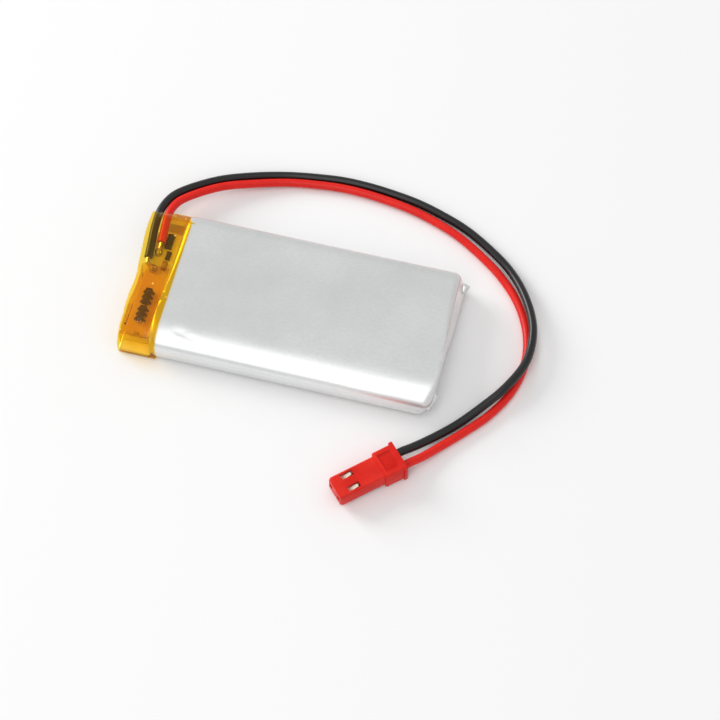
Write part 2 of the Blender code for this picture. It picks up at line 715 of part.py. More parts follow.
def make_housing(parent, material):
    housing = stepped_housing("plug_housing", material)
    housing.parent = parent
    cavity_end = plug_length - front_wall
    for side, label in ((negative_side, "negative"), (positive_side, "positive")):
        cuts = (
            ("front cavity", rear_cavity_depth / 2, cavity_end, front_cavity_width, front_cavity_height),
            ("rear cavity", -1 * MM, rear_cavity_depth, rear_cavity_width, rear_cavity_height),
            ("pin entry", cavity_end - 1 * MM, plug_length + 1 * MM, pin_entry, pin_entry),
        )
        for cut_name, start, end, width, height in cuts:
            tool = block(label + " " + cut_name, (start, side - width / 2, -height / 2),
                         (end, side + width / 2, height / 2), material)
            tool.parent = parent
            combine(housing, tool, "DIFFERENCE")
        window_end = plug_length - window_from_front
        window = block(label + " window", (window_end - window_length, side - window_width / 2, 0.0),
                       (window_end, side + window_width / 2, body_height), material)
        window.parent = parent
        combine(housing, window, "DIFFERENCE")
    for top in (-1, 1):
        panel_depth = 0.22 * MM
        surface = top * collar_height / 2
        panel_half = collar_width * 0.32
        start = flange_thickness + 0.5 * MM
        end = flange_thickness + collar_length - 0.55 * MM
        panel = block("grip panel %+d" % top, (start, -panel_half, surface - panel_depth),
                      (end, panel_half, surface + panel_depth), material)
        panel.parent = parent
        combine(housing, panel, "DIFFERENCE")
    return housing


def contact_rows():
    """Stamped contact: stations along X, each an open channel from wing tip to wing tip."""
    half_socket = (front_cavity_width - contact_sheet) / 2 - film_gap
    socket_height = front_cavity_height - contact_sheet - 2 * film_gap
    facet_share = math.cos(math.radians(crimp_wrap / 16))
    crimp_radius = (strand_diameter / 2 + film_gap) / facet_share + contact_sheet / 2
    sleeve_radius = (lead_diameter / 2 + film_gap) / facet_share + contact_sheet / 2
    floor = -socket_height / 2
    front = plug_length - front_wall - part_gap

    def box(half_width, height, inward):
        top = floor + height
        return [(-half_width + inward, top), (-half_width, top), (-half_width, floor + height * 0.5),
                (-half_width, floor), (0.0, floor), (half_width, floor), (half_width, floor + height * 0.5),
                (half_width, top), (half_width - inward, top)]

    def barrel(radius):
        angles = [-90 + (index - 4) * crimp_wrap / 8 for index in range(9)]
        return [(radius * math.cos(math.radians(angle)), radius * math.sin(math.radians(angle)))
                for angle in angles]

    neck_half = half_socket * 0.8
    neck_rise = 0.18 * MM
    neck = [(-neck_half, floor + neck_rise * step) for step in (3, 2, 1, 0)]
    neck += [(0.0, floor)] + [(neck_half, floor + neck_rise * step) for step in (0, 1, 2, 3)]
    stations = (
        (0.3 * MM, barrel(sleeve_radius)),
        (insulation_depth + strand_gap, barrel(sleeve_radius)),
        (insulation_depth + strand_gap + 0.4 * MM, barrel(crimp_radius)),
        (insulation_depth + bare_length, barrel(crimp_radius)),
        (insulation_depth + bare_length + 0.5 * MM, neck),
        (rear_cavity_depth + 2.2 * MM, neck),
        (rear_cavity_depth + 2.6 * MM, box(half_socket, socket_height, half_socket * 0.72)),
        (front, box(half_socket, socket_height, half_socket * 0.72)),
    )
    return [[(x, y, z) for y, z in section] for x, section in stations]


def make_contact(name, side, parent, material):
    rows = [[(x, y + side, z) for x, y, z in row] for row in contact_rows()]
    contact = sheet(name, rows, contact_sheet, material, even=False)
    contact.parent = parent
    return contact


# --- Tape ---

def pack_outline(offset):
    """Outline of the cell in YZ, from the far side's middle over the top and all round."""
    side = flap_y + laminate / 2 + offset
    top = cell_top + laminate / 2 + offset
    bottom = cover_z - laminate / 2 - offset
    shoulder_z = cell_top - shoulder_drop
    crown_radius = crown_width + laminate / 2 + offset
    drop_radius = top - shoulder_z
    bottom_radius = 3.5 * fold_radius + offset
    outline = [(side, shoulder_z)]
    outline += arc(side - crown_radius, shoulder_z, crown_radius, drop_radius, 15, 90, 6, 2.3)
    outline += [(side - crown_radius, top), (0.0, top)]
    outline += arc(-side + crown_radius, shoulder_z, crown_radius, drop_radius, 90, 180, 7, 2.3)
    outline += [(-side, shoulder_z)]
    outline += arc(-side + bottom_radius, bottom + bottom_radius, bottom_radius, bottom_radius, 180, 270, 3)
    outline += [(-side + bottom_radius, bottom), (side - bottom_radius, bottom)]
    outline += arc(side - bottom_radius, bottom + bottom_radius, bottom_radius, bottom_radius, 285, 360, 3)
    return outline


def make_wrap_tape(material):
    """Tape wound once round the board end, drifting sideways, its end lapped over its start."""
    first_turn = pack_outline(wrap_offset)
    path = first_turn + pack_outline(lap_offset)[:6]
    lengths = [0.0]
    for (y, z), (next_y, next_z) in zip(path, path[1:]):
        lengths.append(lengths[-1] + math.hypot(next_y - y, next_z - z))
    turn_length = lengths[len(first_turn)]
    left = -overall_length / 2
    rows = []
    for share in (0.0, 0.15, 0.3, 0.45, 0.62, 1.0):
        row = []
        for (y, z), travelled in zip(path, lengths):
            x = left + wrap_tape_width * share + wrap_drift * travelled / turn_length
            opening = max(0.0, 1 - (x - left) / (wrap_taper * wrap_tape_width))
            lean = 0.6 - 0.4 * y / (pack_width / 2)
            row.append((x, y, z - wrap_end_drop * opening * lean * z / pack_thickness))
        rows.append(row)
    wrap = sheet("wrap_tape", rows, tape_film, material)
    notch = block("lead exit notch", (left - 1 * MM, 10.5 * MM, 2.6 * MM),
                  (left + 4.1 * MM, pack_width, 4.75 * MM), material)
    combine(wrap, notch, "DIFFERENCE")
    return wrap


def make_end_tape(material):
    """Tape folded over the board end, from the cell's top face round to its underside."""
    left = terrace_end - 0.75 * MM
    low_z = cover_z - laminate / 2 - film_gap - tape_film / 2
    high_z = pack_thickness - wrap_end_drop - 0.8 * MM
    corner = 0.5 * MM
    profile = [(cell_start - 0.35 * MM, high_z), (left + corner, high_z)]
    for start, centre_z in ((90, high_z - corner), (180, low_z + corner)):
        for step in range(1, 4):
            angle = math.radians(start + 30 * step)
            profile.append((left + corner + corner * math.cos(angle), centre_z + corner * math.sin(angle)))
    profile.append((cell_start + end_tape_overlap, low_z))
    rows = [[(x, y, z) for x, z in profile] for y in (-board_length / 2 - 1.6 * MM, 2.6 * MM)]
    return sheet("end_tape", rows, tape_film, material)


def build():
    clear_scene()
    foil = finish("aluminium laminate", (0.78, 0.79, 0.80), 0.32, 0.85)
    amber = finish("polyimide film", (0.72, 0.36, 0.02), 0.18, 0.0, 0.6)
    anode_coat = finish("graphite coated copper", (0.06, 0.06, 0.07), 0.75)
    cathode_coat = finish("oxide coated aluminium", (0.10, 0.09, 0.11), 0.70)
    separator = finish("separator film", (0.90, 0.91, 0.90), 0.45)
    green_tape = finish("green winding tape", (0.10, 0.42, 0.20), 0.35)
    aluminium = finish("aluminium strip", (0.80, 0.80, 0.81), 0.35, 1.0)
    nickel = finish("nickel strip", (0.70, 0.67, 0.61), 0.30, 1.0)
    sealant = finish("tab sealant", (0.85, 0.84, 0.78), 0.50)
    paper = finish("insulating paper", (0.62, 0.60, 0.50), 0.80)
    fibreglass = finish("green fibreglass board", (0.02, 0.14, 0.07), 0.40)
    epoxy = finish("black epoxy", (0.02, 0.02, 0.022), 0.45)
    ceramic = finish("dark ceramic", (0.03, 0.03, 0.035), 0.40)
    capacitor_ceramic = finish("tan ceramic", (0.42, 0.30, 0.20), 0.50)
    solder = finish("solder", (0.66, 0.66, 0.67), 0.28, 1.0)
    copper = finish("tinned copper strands", (0.72, 0.66, 0.60), 0.32, 1.0)
    black_pvc = finish("black insulation", (0.025, 0.025, 0.028), 0.42)
    red_pvc = finish("red insulation", (0.72, 0.03, 0.02), 0.38)
    red_nylon = finish("red nylon", (0.70, 0.015, 0.012), 0.34)
    tin = finish("tinned bronze", (0.78, 0.74, 0.66), 0.25, 1.0)

    make_pouch(foil)
    make_roll(anode_coat, cathode_coat, separator, green_tape)
    for name, side, tab_metal in (("positive", 1, aluminium), ("negative", -1, nickel)):
        centre_y = side * tab_spacing / 2
        make_tab(name + "_tab", centre_y, tab_metal)
        make_sealant(name + "_tab_sealant", centre_y, sealant)
        make_strip(name + "_strip", centre_y, nickel)
    make_paper(paper)
    make_board(fibreglass)
    make_components(epoxy, ceramic, capacitor_ceramic)
    pad_x = board_left + pad_inset
    make_lead("black", lead_route(black_exit, black_sweep), negative_side, (pad_x, negative_pad_y),
              black_pvc, copper, solder)
    make_lead("red", lead_route(red_exit, red_sweep), positive_side, (pad_x, positive_pad_y),
              red_pvc, copper, solder)
    plug = bpy.data.objects.new("plug", None)
    bpy.context.collection.objects.link(plug)
    plug.matrix_world = plug_matrix()
    make_housing(plug, red_nylon)
    make_contact("negative_contact", negative_side, plug, tin)
    make_contact("positive_contact", positive_side, plug, tin)
    make_end_tape(amber)
    make_wrap_tape(amber)


build()
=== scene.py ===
import math

import bmesh
import bpy
from mathutils import Matrix, Vector, noise


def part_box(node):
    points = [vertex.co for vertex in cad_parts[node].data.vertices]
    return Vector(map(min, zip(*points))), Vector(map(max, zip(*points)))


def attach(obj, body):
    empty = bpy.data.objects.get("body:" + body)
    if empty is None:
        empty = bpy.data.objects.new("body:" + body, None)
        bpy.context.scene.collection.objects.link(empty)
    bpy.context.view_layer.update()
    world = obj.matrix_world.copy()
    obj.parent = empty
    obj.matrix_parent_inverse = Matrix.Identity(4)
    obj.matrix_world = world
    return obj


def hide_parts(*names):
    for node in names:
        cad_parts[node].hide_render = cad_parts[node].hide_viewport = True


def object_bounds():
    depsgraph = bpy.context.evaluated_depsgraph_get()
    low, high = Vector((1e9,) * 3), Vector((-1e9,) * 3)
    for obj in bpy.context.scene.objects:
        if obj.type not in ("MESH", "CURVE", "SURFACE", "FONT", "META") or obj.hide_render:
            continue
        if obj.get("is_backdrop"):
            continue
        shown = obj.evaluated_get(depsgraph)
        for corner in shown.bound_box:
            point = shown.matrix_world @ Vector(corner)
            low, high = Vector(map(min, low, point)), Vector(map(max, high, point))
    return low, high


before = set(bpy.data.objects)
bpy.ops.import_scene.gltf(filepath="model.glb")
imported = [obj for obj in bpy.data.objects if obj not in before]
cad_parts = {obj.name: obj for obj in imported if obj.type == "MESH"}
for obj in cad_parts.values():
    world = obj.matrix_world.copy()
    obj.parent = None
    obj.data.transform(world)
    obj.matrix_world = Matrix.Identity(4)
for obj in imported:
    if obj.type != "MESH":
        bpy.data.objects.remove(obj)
cadLow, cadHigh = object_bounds()
mm = 0.001


def linearColour(hexValue):
    channels = [int(hexValue[i:i + 2], 16) / 255 for i in (1, 3, 5)]
    return [c / 12.92 if c <= 0.04045 else ((c + 0.055) / 1.055) ** 2.4 for c in channels] + [1.0]


def addNode(tree, kind, links=None, **settings):
    # links: input name or index -> output socket or plain value; settings: the node's own options
    node = tree.nodes.new(kind)
    for name, value in settings.items():
        setattr(node, name, value)
    for name, value in (links or {}).items():
        socket = node.inputs[name]
        if isinstance(value, bpy.types.NodeSocket):
            tree.links.new(value, socket)
        else:
            socket.default_value = value
    return node


def mixColours(tree, share, low, high):
    mix = addNode(tree, "ShaderNodeMix", {0: share, 6: low, 7: high}, data_type="RGBA")
    return mix.outputs[2]


# tones: darker and lighter colour; grainMm, patchMm: size of the fine and the broad pattern
# bumpMm: height of the grain; stretch: how the grain is drawn out; edgeHighlightTone: colour painted onto
# convex edges, a painted highlight on most finishes
finishes = {
    # rolled aluminium foil under a clear nylon film: satin silver with faint rolling lines
    "satinFoilLaminate": dict(tones=("#e6e7e7", "#edeeee"), roughness=(0.34, 0.40), metallic=0.92,
                              grainMm=0.35, stretch=(0.5, 1.0, 1.0), bumpMm=0.0012, patchMm=12,
                              edgeHighlightTone="#f4f5f5", coat=0.2, coatRoughness=0.2),
    # extruded PVC: soft sheen, very slightly mottled
    "blackPvc": dict(tones=("#0e0e0f", "#161617"), roughness=(0.30, 0.42), grainMm=0.5, bumpMm=0.006,
                     patchMm=5, edgeHighlightTone="#2a2a2b", coat=0.3, coatRoughness=0.2, specular=0.35),
    "redPvc": dict(tones=("#d8140a", "#e61c10"), roughness=(0.32, 0.44), grainMm=0.5, bumpMm=0.006,
                   patchMm=5, edgeHighlightTone="#ee3a2a", coat=0.15, coatRoughness=0.25, specular=0.25),
    # moulded nylon 66: waxy gloss with fine spark-eroded grain, with its corners painted paler as a painted
    # highlight
    "redNylon": dict(tones=("#be0204", "#ca0607"), roughness=(0.28, 0.38), grainMm=0.12, bumpMm=0.004,
                     patchMm=3, edgeHighlightTone="#f0402f", coat=0.05, coatRoughness=0.2, specular=0.12),
    # tin over phosphor bronze: bright, warm, with lengthwise rolling marks
    "tinnedBronze": dict(tones=("#f0e2cf", "#fbf3e6"), roughness=(0.34, 0.46), metallic=0.75,
                         grainMm=0.25, stretch=(0.2, 1.0, 1.0), bumpMm=0.003, patchMm=1.5,
                         edgeHighlightTone="#fff3df"),
    # tin over drawn copper: the copper's warmth shows between fine drawing marks
    "tinnedCopper": dict(tones=("#b9a48c", "#d8cbb9"), roughness=(0.25, 0.4), metallic=1.0,
                         grainMm=0.15, bumpMm=0.004, patchMm=1, edgeHighlightTone="#e9ddcb"),
    # rolled nickel and aluminium strip: brushed along the strip
    "nickelStrip": dict(tones=("#a9a498", "#c9c4b8"), roughness=(0.24, 0.38), metallic=1.0,
                        grainMm=0.3, stretch=(0.1, 1.0, 1.0), bumpMm=0.003, patchMm=3,
                        edgeHighlightTone="#ddd8cc"),
    "aluminiumStrip": dict(tones=("#c2c3c5", "#dddee0"), roughness=(0.28, 0.42), metallic=1.0,
                           grainMm=0.3, stretch=(0.1, 1.0, 1.0), bumpMm=0.003, patchMm=3,
                           edgeHighlightTone="#eeeff1"),
    # tin solder: bright, slightly rippled
    "solder": dict(tones=("#a5a6a8", "#cccdcf"), roughness=(0.18, 0.36), metallic=1.0, grainMm=0.5,
                   bumpMm=0.02, patchMm=1, edgeHighlightTone="#e6e7e9"),
    # glass-fibre board with a pale solder mask: faint weave under a glossy coat
    "boardMask": dict(tones=("#ece5bd", "#f6f0d0"), roughness=(0.3, 0.45), grainMm=0.45, bumpMm=0.004,
                      patchMm=6, edgeHighlightTone="#efe9c8", coat=0.2, coatRoughness=0.15),
    # moulded epoxy: matt black with a grey bloom
    "moulding": dict(tones=("#0d0d0e", "#1a1a1b"), roughness=(0.42, 0.58), grainMm=0.1, bumpMm=0.004,
                     patchMm=1.5, edgeHighlightTone="#343435"),
    # glazed and bare ceramic: smooth dark glaze on the resistors, matt tan on the capacitor
    "darkCeramic": dict(tones=("#101012", "#1c1c20"), roughness=(0.25, 0.42), grainMm=0.1, bumpMm=0.003,
                        patchMm=1, edgeHighlightTone="#3b3b40"),
    "tanCeramic": dict(tones=("#7d5f45", "#9b7b5c"), roughness=(0.35, 0.5), grainMm=0.1, bumpMm=0.003,
                       patchMm=1, edgeHighlightTone="#b79a7b"),
    # fish paper: fibrous and matt
    "fishPaper": dict(tones=("#e2d8b2", "#efe7c8"), roughness=(0.7, 0.85), grainMm=0.35,
                      stretch=(0.5, 1.0, 1.0), bumpMm=0.02, patchMm=4, edgeHighlightTone="#d2c9a8"),
    # cast polypropylene film: milky and waxy
    "tabSealant": dict(tones=("#cfccc0", "#e0ddd2"), roughness=(0.4, 0.55), grainMm=0.3, bumpMm=0.006,
                       patchMm=2, edgeHighlightTone="#ecebe4"),
    # electrode coats: dense matt powder
    "graphiteCoat": dict(tones=("#222326", "#303136"), roughness=(0.65, 0.8), grainMm=0.2, bumpMm=0.01,
                         patchMm=8, edgeHighlightTone="#4a4b50"),
    "oxideCoat": dict(tones=("#2b282d", "#3a373d"), roughness=(0.6, 0.75), grainMm=0.2, bumpMm=0.01,
                      patchMm=8, edgeHighlightTone="#55515a"),
    # stretched polyethylene film: white with a silky sheen
    "separatorFilm": dict(tones=("#e2e5e3", "#f2f4f2"), roughness=(0.35, 0.5), grainMm=0.6, bumpMm=0.004,
                          patchMm=10, edgeHighlightTone="#fafbfa"),
    # coated polyester tape: green and glossy
    "greenTape": dict(tones=("#2a7a45", "#388c54"), roughness=(0.2, 0.35), grainMm=0.8, bumpMm=0.006,
                      patchMm=6, edgeHighlightTone="#5fae78", coat=0.4, coatRoughness=0.1),
}


# how patterns spread over tone, the painted edge highlight and gloss, on every finish
surfaceRule = {"tonePattern": (0.14, 0.38), "edgeHighlightRange": (0.52, 0.62), "edgeHighlightShare": 0.7,
               "glossPattern": (0.3, 0.7), "bumpStrength": 0.5}


def makeFinish(name):
    look = finishes[name]
    rule = surfaceRule
    material = bpy.data.materials.new(name)
    material.use_nodes = True
    tree = material.node_tree
    shader = tree.nodes["Principled BSDF"]
    place = addNode(tree, "ShaderNodeTexCoord").outputs["Object"]
    drawn = addNode(tree, "ShaderNodeMapping",
                    {"Vector": place, "Scale": look.get("stretch", (1, 1, 1))})
    grain = addNode(tree, "ShaderNodeTexNoise",
                    {"Vector": drawn.outputs[0], "Scale": 1 / (look["grainMm"] * mm), "Detail": 4.0})
    patches = addNode(tree, "ShaderNodeTexNoise",
                      {"Vector": place, "Scale": 1 / (look["patchMm"] * mm), "Detail": 3.0})
    mottle = addNode(tree, "ShaderNodeMath", {0: grain.outputs[0], 1: patches.outputs[0]},
                     operation="MULTIPLY")
    spread = addNode(tree, "ShaderNodeMapRange",
                     {"Value": mottle.outputs[0], "From Min": rule["tonePattern"][0],
                      "From Max": rule["tonePattern"][1]})
    tone = mixColours(tree, spread.outputs[0], *[linearColour(each) for each in look["tones"]])
    # convex corners and edges are painted toward the edge tone: a painted highlight, paler on most finishes
    edge = addNode(tree, "ShaderNodeNewGeometry").outputs["Pointiness"]
    edgeHighlight = addNode(tree, "ShaderNodeMapRange",
                   {"Value": edge, "From Min": rule["edgeHighlightRange"][0], "From Max": rule["edgeHighlightRange"][1],
                    "To Max": rule["edgeHighlightShare"]})
    edgeHighlightMask = addNode(tree, "ShaderNodeMath", {0: edgeHighlight.outputs[0], 1: patches.outputs[0]},
                     operation="MULTIPLY")
    colour = mixColours(tree, edgeHighlightMask.outputs[0], tone, linearColour(look["edgeHighlightTone"]))
    tree.links.new(colour, shader.inputs["Base Color"])
    gloss = addNode(tree, "ShaderNodeMapRange",
                    {"Value": patches.outputs[0], "From Min": rule["glossPattern"][0],
                     "From Max": rule["glossPattern"][1],
                     "To Min": look["roughness"][0], "To Max": look["roughness"][1]})
    tree.links.new(gloss.outputs[0], shader.inputs["Roughness"])
    relief = addNode(tree, "ShaderNodeBump",
                     {"Height": grain.outputs[0], "Strength": rule["bumpStrength"],
                      "Distance": look["bumpMm"] * mm})
    tree.links.new(relief.outputs[0], shader.inputs["Normal"])
    shader.inputs["Metallic"].default_value = look.get("metallic", 0.0)
    if "specular" in look:
        shader.inputs["Specular IOR Level"].default_value = look["specular"]
    shader.inputs["Coat Weight"].default_value = look.get("coat", 0.0)
    shader.inputs["Coat Roughness"].default_value = look.get("coatRoughness", 0.1)
    return material


# polyimide film with silicone glue: clear amber that deepens with each layer, with a hard gloss
amberFilm = {"clear": "#fdf29c", "streaked": "#fbe27c", "body": "#ffc94a", "bodyShare": 0.02,
             "bodyRoughness": 0.4, "ior": 1.27, "roughness": 0.09, "streakMm": 5.0,
             "bubbleMm": 2.4, "bubbleEdge": (0.07, 0.10), "bubbleShare": 0.7,
             "crinkleMm": 1.8, "crinkleDepthMm": 0.03, "crinkleStrength": 0.5}


def makeAmberFilm():
    look = amberFilm
    film = bpy.data.materials.new("amberPolyimide")
    film.use_nodes = True
    tree = film.node_tree
    body = tree.nodes["Principled BSDF"]
    place = addNode(tree, "ShaderNodeTexCoord").outputs["Object"]
    streaks = addNode(tree, "ShaderNodeTexNoise",
                      {"Vector": place, "Scale": 1 / (look["streakMm"] * mm), "Detail": 4.0})
    tint = mixColours(tree, streaks.outputs[0], linearColour(look["clear"]),
                      linearColour(look["streaked"]))
    clear = addNode(tree, "ShaderNodeBsdfTransparent", {"Color": tint})
    # small air bubbles where the glue doesn't touch
    bubbles = addNode(tree, "ShaderNodeTexVoronoi",
                      {"Vector": place, "Scale": 1 / (look["bubbleMm"] * mm)})
    spots = addNode(tree, "ShaderNodeMapRange",
                    {"Value": bubbles.outputs["Distance"], "From Min": look["bubbleEdge"][0],
                     "From Max": look["bubbleEdge"][1], "To Min": look["bubbleShare"],
                     "To Max": look["bodyShare"]})
    body.inputs["Base Color"].default_value = linearColour(look["body"])
    body.inputs["Roughness"].default_value = look["bodyRoughness"]
    tinted = addNode(tree, "ShaderNodeMixShader",
                     {0: spots.outputs[0], 1: clear.outputs[0], 2: body.outputs[0]})
    crinkle = addNode(tree, "ShaderNodeTexNoise",
                      {"Vector": place, "Scale": 1 / (look["crinkleMm"] * mm), "Detail": 3.0})
    relief = addNode(tree, "ShaderNodeBump",
                     {"Height": crinkle.outputs[0], "Strength": look["crinkleStrength"],
                      "Distance": look["crinkleDepthMm"] * mm})
    gloss = addNode(tree, "ShaderNodeBsdfPrincipled",
                    {"Base Color": linearColour("#ffffff"), "Metallic": 1.0,
                     "Roughness": look["roughness"], "Normal": relief.outputs[0]})
    # only the outer face mirrors: a film this thin traps no light inside
    mirror = addNode(tree, "ShaderNodeFresnel", {"IOR": look["ior"], "Normal": relief.outputs[0]})
    inner = addNode(tree, "ShaderNodeNewGeometry").outputs["Backfacing"]
    outer = addNode(tree, "ShaderNodeMath", {0: 1.0, 1: inner}, operation="SUBTRACT")
    share = addNode(tree, "ShaderNodeMath", {0: mirror.outputs[0], 1: outer.outputs[0]},
                    operation="MULTIPLY")
    whole = addNode(tree, "ShaderNodeMixShader",
                    {0: share.outputs[0], 1: tinted.outputs[0], 2: gloss.outputs[0]})
    tree.links.new(whole.outputs[0], tree.nodes["Material Output"].inputs["Surface"])
    return film


material = {name: makeFinish(name) for name in finishes}
material["amberPolyimide"] = makeAmberFilm()
print("finishes made:", len(material))

# the finish and the slot of each piece of the pack
nodeLooks = {
    "separator_inner": ("separatorFilm", "separator"), "separator_outer": ("separatorFilm", "separator"),
    "anode_strip": ("graphiteCoat", "anode"), "cathode_strip": ("oxideCoat", "cathode"),
    "roll_tape": ("greenTape", "winding_tape"),
    "positive_tab": ("aluminiumStrip", "aluminium_tab"), "negative_tab": ("nickelStrip", "nickel"),
    "positive_tab_sealant": ("tabSealant", "sealant"), "negative_tab_sealant": ("tabSealant", "sealant"),
    "positive_strip": ("nickelStrip", "nickel"), "negative_strip": ("nickelStrip", "nickel"),
    "insulating_paper": ("fishPaper", "paper"), "protection_board": ("boardMask", "board"),
    "protection_ic": ("moulding", "epoxy"), "mosfet_pair": ("moulding", "epoxy"),
    "sense_resistor": ("darkCeramic", "ceramic"), "filter_resistor": ("darkCeramic", "ceramic"),
    "filter_capacitor": ("tanCeramic", "capacitor"),
    "positive_solder": ("solder", "solder"), "negative_solder": ("solder", "solder"),
    "black_board_strands": ("tinnedCopper", "strands"), "red_board_strands": ("tinnedCopper", "strands"),
    "black_plug_strands": ("tinnedCopper", "strands"), "red_plug_strands": ("tinnedCopper", "strands"),
    "negative_contact": ("tinnedBronze", "contact"), "positive_contact": ("tinnedBronze", "contact"),
    "plug_housing": ("redNylon", "red_nylon"), "pouch": ("satinFoilLaminate", "laminate"),
    "wrap_tape": ("amberPolyimide", "polyimide"), "end_tape": ("amberPolyimide", "polyimide"),
}
for node, (finish, slot) in nodeLooks.items():
    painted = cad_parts[node].data.materials
    painted.clear()
    painted.append(material[finish])


def newPiece(name, data):
    piece = bpy.data.objects.new(name, data)
    bpy.context.collection.objects.link(piece)
    return piece


def smoothFaces(mesh, sharpDegrees):
    mesh.shade_smooth()
    mesh.set_sharp_from_angle(angle=math.radians(sharpDegrees))


def mergedCopy(node, name):
    # a welded copy of a CAD node, with its flat triangles joined into larger faces
    builder = bmesh.new()
    builder.from_mesh(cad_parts[node].data)
    bmesh.ops.remove_doubles(builder, verts=builder.verts, dist=0.0005 * mm)
    bmesh.ops.join_triangles(builder, faces=builder.faces, angle_face_threshold=math.radians(40),
                             angle_shape_threshold=math.radians(60))
    mesh = bpy.data.meshes.new(name)
    builder.to_mesh(mesh)
    builder.free()
    mesh.materials.append(material[nodeLooks[node][0]])
    return newPiece(name, mesh)


def applied(piece):
    # the piece with its modifiers made into plain mesh
    bpy.context.view_layer.update()
    result = bpy.data.meshes.new_from_object(piece.evaluated_get(bpy.context.evaluated_depsgraph_get()))
    piece.modifiers.clear()
    piece.data = result
    return piece


def standFor(piece, node):
    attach(piece, "root")
    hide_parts(node)
    return piece


# along X, Y: how far the seen body is drawn in or out; then how far it is moved along X, millimetres
fitted = {
    "sense_resistor": (0.75, 0.95, -0.45), "protection_board": (1.11, 1.0, 0.23),
    "protection_ic": (0.72, 1.1, 0.05), "mosfet_pair": (0.72, 1.1, 0.05),
}
# rigid mouldings keep the CAD form: the new piece's name and the width of its eased edges, millimetres
easedParts = {
    "plug_housing": ("plugMoulding", 0.07), "protection_board": ("protectionBoard", 0.05),
    "protection_ic": ("protectionChip", 0.04), "mosfet_pair": ("switchChip", 0.04),
    "sense_resistor": ("senseResistor", 0.03), "filter_resistor": ("filterResistor", 0.03),
    "filter_capacitor": ("filterCapacitor", 0.03), "insulating_paper": ("insulatingPaper", 0.02),
}
eased = {}
for node, (name, widthMm) in easedParts.items():
    part = mergedCopy(node, name)
    builder = bmesh.new()
    builder.from_mesh(part.data)
    bmesh.ops.dissolve_limit(builder, angle_limit=math.radians(1), verts=builder.verts,
                             edges=builder.edges)
    builder.to_mesh(part.data)
    builder.free()
    easing = part.modifiers.new("easedEdges", "BEVEL")
    easing.width = widthMm * mm
    easing.segments = 2
    easing.limit_method = "ANGLE"
    easing.angle_limit = math.radians(40)
    applied(part)
    if node in fitted:
        alongX, alongY, moved = fitted[node]
        low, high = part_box(node)
        middle = (low + high) / 2
        middle.z = 0
        part.data.transform(Matrix.Translation(middle + Vector((moved * mm, 0, 0)))
                            @ Matrix.Diagonal((alongX, alongY, 1, 1)) @ Matrix.Translation(-middle))
    smoothFaces(part.data, 50)
    eased[node] = standFor(part, node)
print("eased parts:", len(eased))

# the formed foil: millimetres, apart from the shoulder's power
# near, far: how far the long shoulder and the end wall draw in, how far they drop, and their corner
# creases: where each starts and ends on the top, its width and its depth
# terrace: inset and height of each level of the sealed foil that the board stands on
pouchShape = {
    "near": {"side": 5.6, "end": 0.15, "drop": 3.0, "corner": 1.8},
    "far": {"side": 2.4, "end": 1.3, "drop": 1.5, "corner": 1.5},
    "shoulderPower": 2.25, "bottomRound": 1.3, "ridge": 1.5, "room": 0.7,
    "seamHeight": 2.5, "seamStep": 0.07,
    "seamProfile": ((0, 0.75), (0, 0.92), (1 / 7, 0.96), (0.7, 1.0), (1.0, 1.03)),
    "farLean": 0.7, "nearTuck": 1.0, "leanReach": 4.0,
    "dent": 0.06, "dentSize": 15.0, "rippleSize": 2.2, "rippleShare": 0.25,
    "creases": (((-18.7, -10.3), (-12.6, -11.6), 0.32, 0.16), ((-18.4, -9.6), (-15.5, -10.5), 0.4, 0.07),
                ((10.0, -12.4), (21.0, -12.7), 0.5, 0.05)),
    "terrace": ((0.3, 0.0), (0.0, 0.12), (0.0, 0.55), (0.12, 0.64)),
    "terraceCorner": 0.5, "terraceInset": 0.1, "terraceLap": 0.6,
    "ears": (((27.4, 11.0, 2.4), (28.6, 11.2, 2.3), (29.1, 12.6, 2.9), (27.5, 12.8, 3.3)),
             ((27.2, -13.0, 3.0), (27.9, -13.3, 2.4), (28.95, -10.8, 3.3), (28.25, -10.4, 3.9))),
    "earThickness": 0.2, "earSwell": 0.18,
}


def pouchRings(halfWidth, bottom, top, edge):
    # side inset, end inset and height of each ring, from the middle of the base up to that of the top
    shape = pouchShape
    rings = []
    for inset in (halfWidth - shape["ridge"], halfWidth * 0.6, halfWidth * 0.3, 3.0):
        rings.append((inset, inset, bottom))
    for step in range(7):
        angle = math.radians(90 * step / 6)
        inset = shape["bottomRound"] * (1 - math.sin(angle))
        rings.append((inset, inset, bottom + shape["bottomRound"] * (1 - math.cos(angle))))
    seam = shape["seamStep"]
    for share, height in shape["seamProfile"]:
        rings.append((seam * share, seam * share, bottom + shape["seamHeight"] * height))
    low = top - edge["drop"]
    for step in range(1, 19):
        angle = math.radians(90 * step / 18)
        rise = math.sin(angle) ** (2 / shape["shoulderPower"])
        draw = 1 - math.cos(angle) ** (2 / shape["shoulderPower"])
        rings.append((seam + edge["side"] * draw, seam + edge["end"] * draw, low + edge["drop"] * rise))
    side, end, height = rings[-1]
    spare = halfWidth - side - shape["ridge"]
    for step in range(1, 13):
        inset = spare * step / 12
        rings.append((side + inset, end + inset, height))
    return rings


def outline(halfX, halfY, corner):
    # a rounded rectangle, counterclockwise from above, with the same points on every ring
    points = []
    for signX, signY, start in ((1, 1, 0), (-1, 1, 90), (-1, -1, 180), (1, -1, 270)):
        for step in range(13):
            angle = math.radians(start + 90 * step / 12)
            points.append((signX * (halfX - corner) + corner * math.cos(angle),
                           signY * (halfY - corner) + corner * math.sin(angle)))
        across = signX == signY     # a long side follows this corner
        steps = 90 if across else 40
        fromX, fromY = points[-1]
        toX = -signX * (halfX - corner) if across else fromX
        toY = fromY if across else -signY * (halfY - corner)
        for step in range(1, steps):
            share = step / steps
            points.append((fromX + (toX - fromX) * share, fromY + (toY - fromY) * share))
    return points


def smoothStep(value):
    share = min(1.0, max(0.0, value))
    return share * share * (3 - 2 * share)


